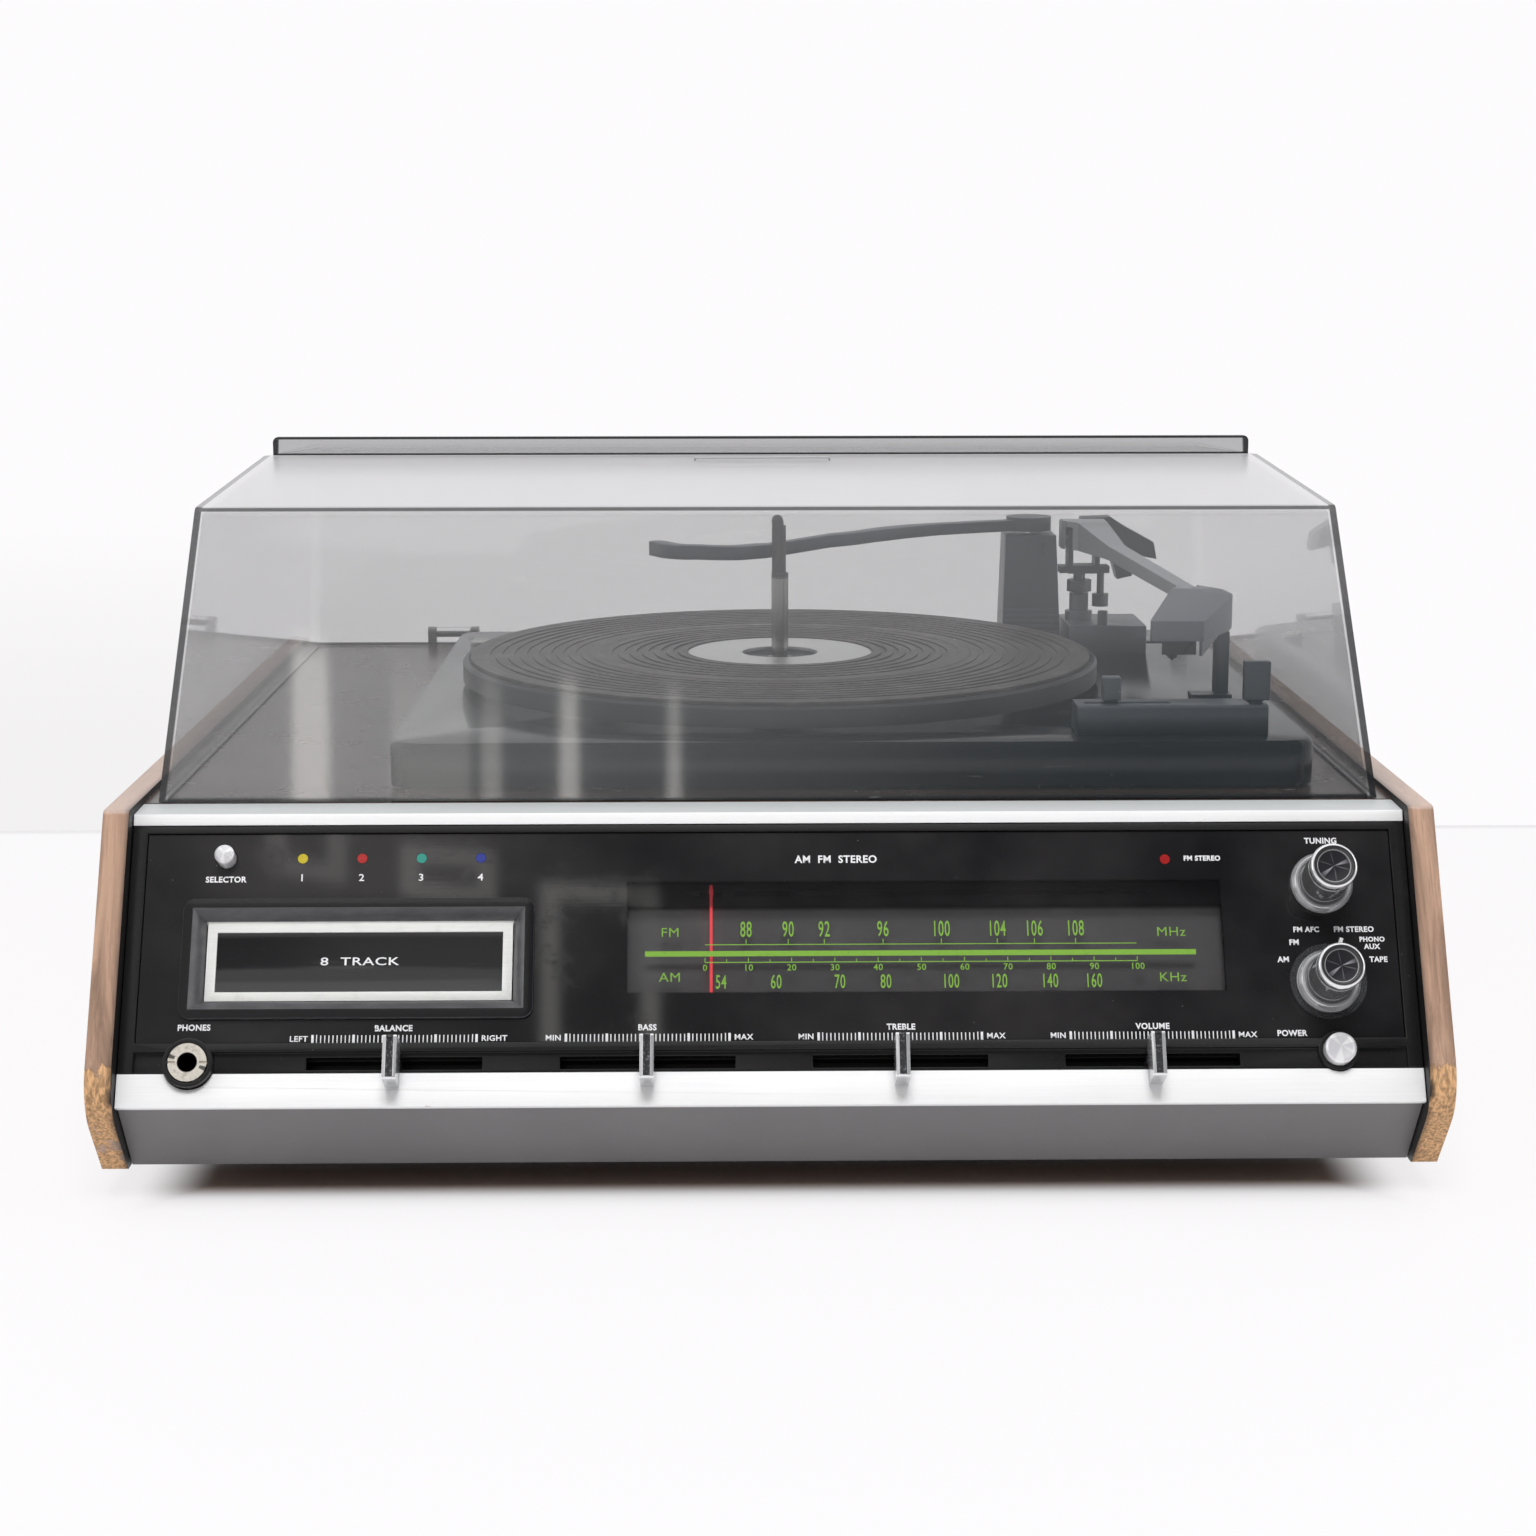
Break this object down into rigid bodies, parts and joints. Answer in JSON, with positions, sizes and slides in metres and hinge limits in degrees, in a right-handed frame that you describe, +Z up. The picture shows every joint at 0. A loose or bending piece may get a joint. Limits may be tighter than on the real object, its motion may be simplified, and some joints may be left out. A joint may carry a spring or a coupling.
{
  "type": "8 track player",
  "caption": "Compact stereo centre: an 8-track tape player and tuner with a dial and sliders in a sloping panel, and a record changer under a smoked hinged cover.",
  "frame": {"origin": "middle of the object's bounding box at floor level, under the feet", "axes": "+Z up, +X to the user's right, the control panel faces -Y"},
  "size_m": [0.464, 0.4689, 0.2429],
  "materials": {
    "walnut": "satin walnut film over chipboard",
    "chipboard": "raw chipboard",
    "hardboard": "smooth hardboard",
    "deck_film": "dark woodgrain film",
    "black_abs": "fine-textured moulding",
    "gloss_acrylic": "polished acrylic",
    "dial_steel": "satin paint",
    "silver_strip": "brushed and anodised",
    "grey_sheet": "satin paint",
    "rubber": "moulded",
    "smoked": "smoked clear styrene, scuffed",
    "plated": "zinc plated",
    "changer_paint": "semi-gloss paint",
    "platter_steel": "plain pressed steel",
    "mat_rubber": "moulded",
    "disc_metal": "satin",
    "chrome": "polished",
    "dark_plastic": "moulded",
    "arm_grey": "satin",
    "brass": "turned",
    "knob_silver": "turned and satin",
    "door_silver": "brushed",
    "steel": "plain",
    "lens": "coloured lenses, four tints",
    "pointer_red": "painted",
    "nylon": "moulded",
    "button_grey": "satin",
    "board": "phenolic board with parts",
    "transformer": "varnished laminations",
    "phenolic": "phenolic strip"
  },
  "bodies": {
    "cabinet": {"left_side": "walnut", "right_side": "walnut", "base_board": "chipboard", "back_panel": "hardboard", "top_deck": "deck_film", "front_frame": "black_abs", "dial_face": "gloss_acrylic", "dial_plate": "dial_steel", "trim_strips": "silver_strip", "kick_panel": "grey_sheet", "rubber_feet": "rubber", "hinge_brackets": "plated", "changer_plate": "changer_paint", "changer_springs": "plated", "spindle": "chrome", "overarm_post": "dark_plastic", "arm_pedestal": "dark_plastic", "arm_rest": "dark_plastic", "control_module": "dark_plastic", "platter_motor": "steel", "tape_bezel": "black_abs", "tape_chassis": "plated", "tape_motor": "plated", "drive_belt": "rubber", "panel_lamps": "lens", "panel_controls": "plated", "headphone_jack": "chrome", "circuit_board": "board", "power_transformer": "transformer", "rear_fittings": "phenolic", "screws": "plated"},
    "cover": {"dust_cover": "smoked"},
    "turntable": {"platter": "platter_steel", "platter_mat": "mat_rubber", "centre_disc": "disc_metal"},
    "idler": {"idler_wheel": "rubber"},
    "motor_shaft": {"motor_pulley": "brass"},
    "overarm_lifter": {"overarm_shaft": "chrome"},
    "overarm_bar": {"overarm": "dark_plastic"},
    "arm_yoke": {"arm_gimbal": "steel"},
    "arm": {"tone_arm": "arm_grey", "head_shell": "dark_plastic", "pickup": "dark_plastic", "counterweight": "steel"},
    "speed_slide": {"speed_lever": "dark_plastic"},
    "start_slide": {"start_lever": "dark_plastic"},
    "door": {"tape_door": "door_silver"},
    "capstan": {"flywheel": "steel"},
    "tape_motor_shaft": {"tape_pulley": "brass"},
    "head_lift": {"tape_head": "steel"},
    "selector": {"selector_button": "knob_silver"},
    "tuning": {"tuning_knob": "knob_silver"},
    "pointer": {"dial_pointer": "pointer_red"},
    "drum": {"tuning_drum": "nylon"},
    "function": {"function_knob": "knob_silver"},
    "power": {"power_button": "button_grey"},
    "balance": {"balance_slider": "chrome"},
    "bass": {"bass_slider": "chrome"},
    "treble": {"treble_slider": "chrome"},
    "volume": {"volume_slider": "chrome"}
  },
  "joints": [
    {"name": "cover_hinge", "type": "hinge", "parent": "cabinet", "child": "cover", "pos_m": [0, 0.22455, 0.13404], "axis": [-1, 0, 0], "range_deg": [0, 65]},
    {"name": "platter_spin", "type": "hinge", "parent": "cabinet", "child": "turntable", "pos_m": [0.0067, 0.00385, 0.14684], "axis": [0, 0, -1], "continuous": true},
    {"name": "idler_spin", "type": "hinge", "parent": "cabinet", "child": "idler", "pos_m": [-0.0661, 0.07665, 0.14684], "axis": [0, 0, -1], "continuous": true},
    {"name": "motor_spin", "type": "hinge", "parent": "cabinet", "child": "motor_shaft", "pos_m": [-0.0858, 0.05635, 0.14684], "axis": [0, 0, -1], "continuous": true},
    {"name": "overarm_lift", "type": "slide", "parent": "cabinet", "child": "overarm_lifter", "axis": [0, 0, 1], "range_m": [0, 0.022]},
    {"name": "overarm_swing", "type": "hinge", "parent": "overarm_lifter", "child": "overarm_bar", "pos_m": [0.1196, 0.10355, 0.19634], "axis": [0, 0, -1], "range_deg": [0, 55]},
    {"name": "arm_swing", "type": "hinge", "parent": "cabinet", "child": "arm_yoke", "pos_m": [0.1415, 0.09355, 0.14684], "axis": [0, 0, -1], "range_deg": [0, 45]},
    {"name": "arm_lift", "type": "hinge", "parent": "arm_yoke", "child": "arm", "pos_m": [0.143, 0.09355, 0.19584], "axis": [-1, 0, 0], "range_deg": [-2.6, 5]},
    {"name": "speed_select", "type": "slide", "parent": "cabinet", "child": "speed_slide", "axis": [1, 0, 0], "range_m": [-0.006, 0.018]},
    {"name": "start_push", "type": "slide", "parent": "cabinet", "child": "start_slide", "axis": [0, 1, 0], "range_m": [0, 0.008], "stiffness_N_per_m": 60, "springref_m": -0.004},
    {"name": "door_hinge", "type": "hinge", "parent": "cabinet", "child": "door", "pos_m": [-0.1426, -0.18944, 0.09302], "axis": [1, 0, 0], "range_deg": [0, 118], "stiffness_Nm_per_rad": 0.01, "springref_deg": -20.05},
    {"name": "capstan_spin", "type": "hinge", "parent": "cabinet", "child": "capstan", "pos_m": [-0.1726, -0.09495, 0.053], "axis": [0, 0, 1], "continuous": true},
    {"name": "tape_motor_spin", "type": "hinge", "parent": "cabinet", "child": "tape_motor_shaft", "pos_m": [-0.1056, -0.13145, 0.053], "axis": [0, 0, 1], "continuous": true},
    {"name": "head_step", "type": "slide", "parent": "cabinet", "child": "head_lift", "axis": [0, 0, 1], "range_m": [0, 0.0019]},
    {"name": "selector_push", "type": "slide", "parent": "cabinet", "child": "selector", "axis": [0, 0.8686, -0.4955], "range_m": [0, 0.0025], "stiffness_N_per_m": 300, "springref_m": -0.002},
    {"name": "tuning_turn", "type": "hinge", "parent": "cabinet", "child": "tuning", "pos_m": [0.1923, -0.18935, 0.10528], "axis": [0, 0.8686, -0.4955], "range_deg": [-24.06, 1690.2]},
    {"name": "pointer_slide", "type": "slide", "parent": "cabinet", "child": "pointer", "axis": [1, 0, 0], "range_m": [-0.0021, 0.1475]},
    {"name": "drum_turn", "type": "hinge", "parent": "cabinet", "child": "drum", "pos_m": [0.136, -0.20005, 0.08652], "axis": [0, 0.8686, -0.4955], "range_deg": [-2.54, 178]},
    {"name": "function_turn", "type": "hinge", "parent": "cabinet", "child": "function", "pos_m": [0.1923, -0.20674, 0.07479], "axis": [0, 0.8686, -0.4955], "range_deg": [-90, 60]},
    {"name": "power_push", "type": "slide", "parent": "cabinet", "child": "power", "axis": [0, 0.8686, -0.4955], "range_m": [0, 0.0025], "stiffness_N_per_m": 300, "springref_m": -0.002},
    {"name": "balance_slide", "type": "slide", "parent": "cabinet", "child": "balance", "axis": [1, 0, 0], "range_m": [-0.026, 0.026]},
    {"name": "bass_slide", "type": "slide", "parent": "cabinet", "child": "bass", "axis": [1, 0, 0], "range_m": [-0.026, 0.026]},
    {"name": "treble_slide", "type": "slide", "parent": "cabinet", "child": "treble", "axis": [1, 0, 0], "range_m": [-0.026, 0.026]},
    {"name": "volume_slide", "type": "slide", "parent": "cabinet", "child": "volume", "axis": [1, 0, 0], "range_m": [-0.026, 0.026]}
  ],
  "couplings": [
    {"joint": "idler_spin", "follows": "platter_spin", "ratio": 5.124},
    {"joint": "motor_spin", "follows": "platter_spin", "ratio": -42.7},
    {"joint": "pointer_slide", "follows": "tuning_turn", "m_per_rad": 0.005},
    {"joint": "drum_turn", "follows": "tuning_turn", "ratio": 0.10526},
    {"joint": "tape_motor_spin", "follows": "capstan_spin", "ratio": 5.1667}
  ]
}
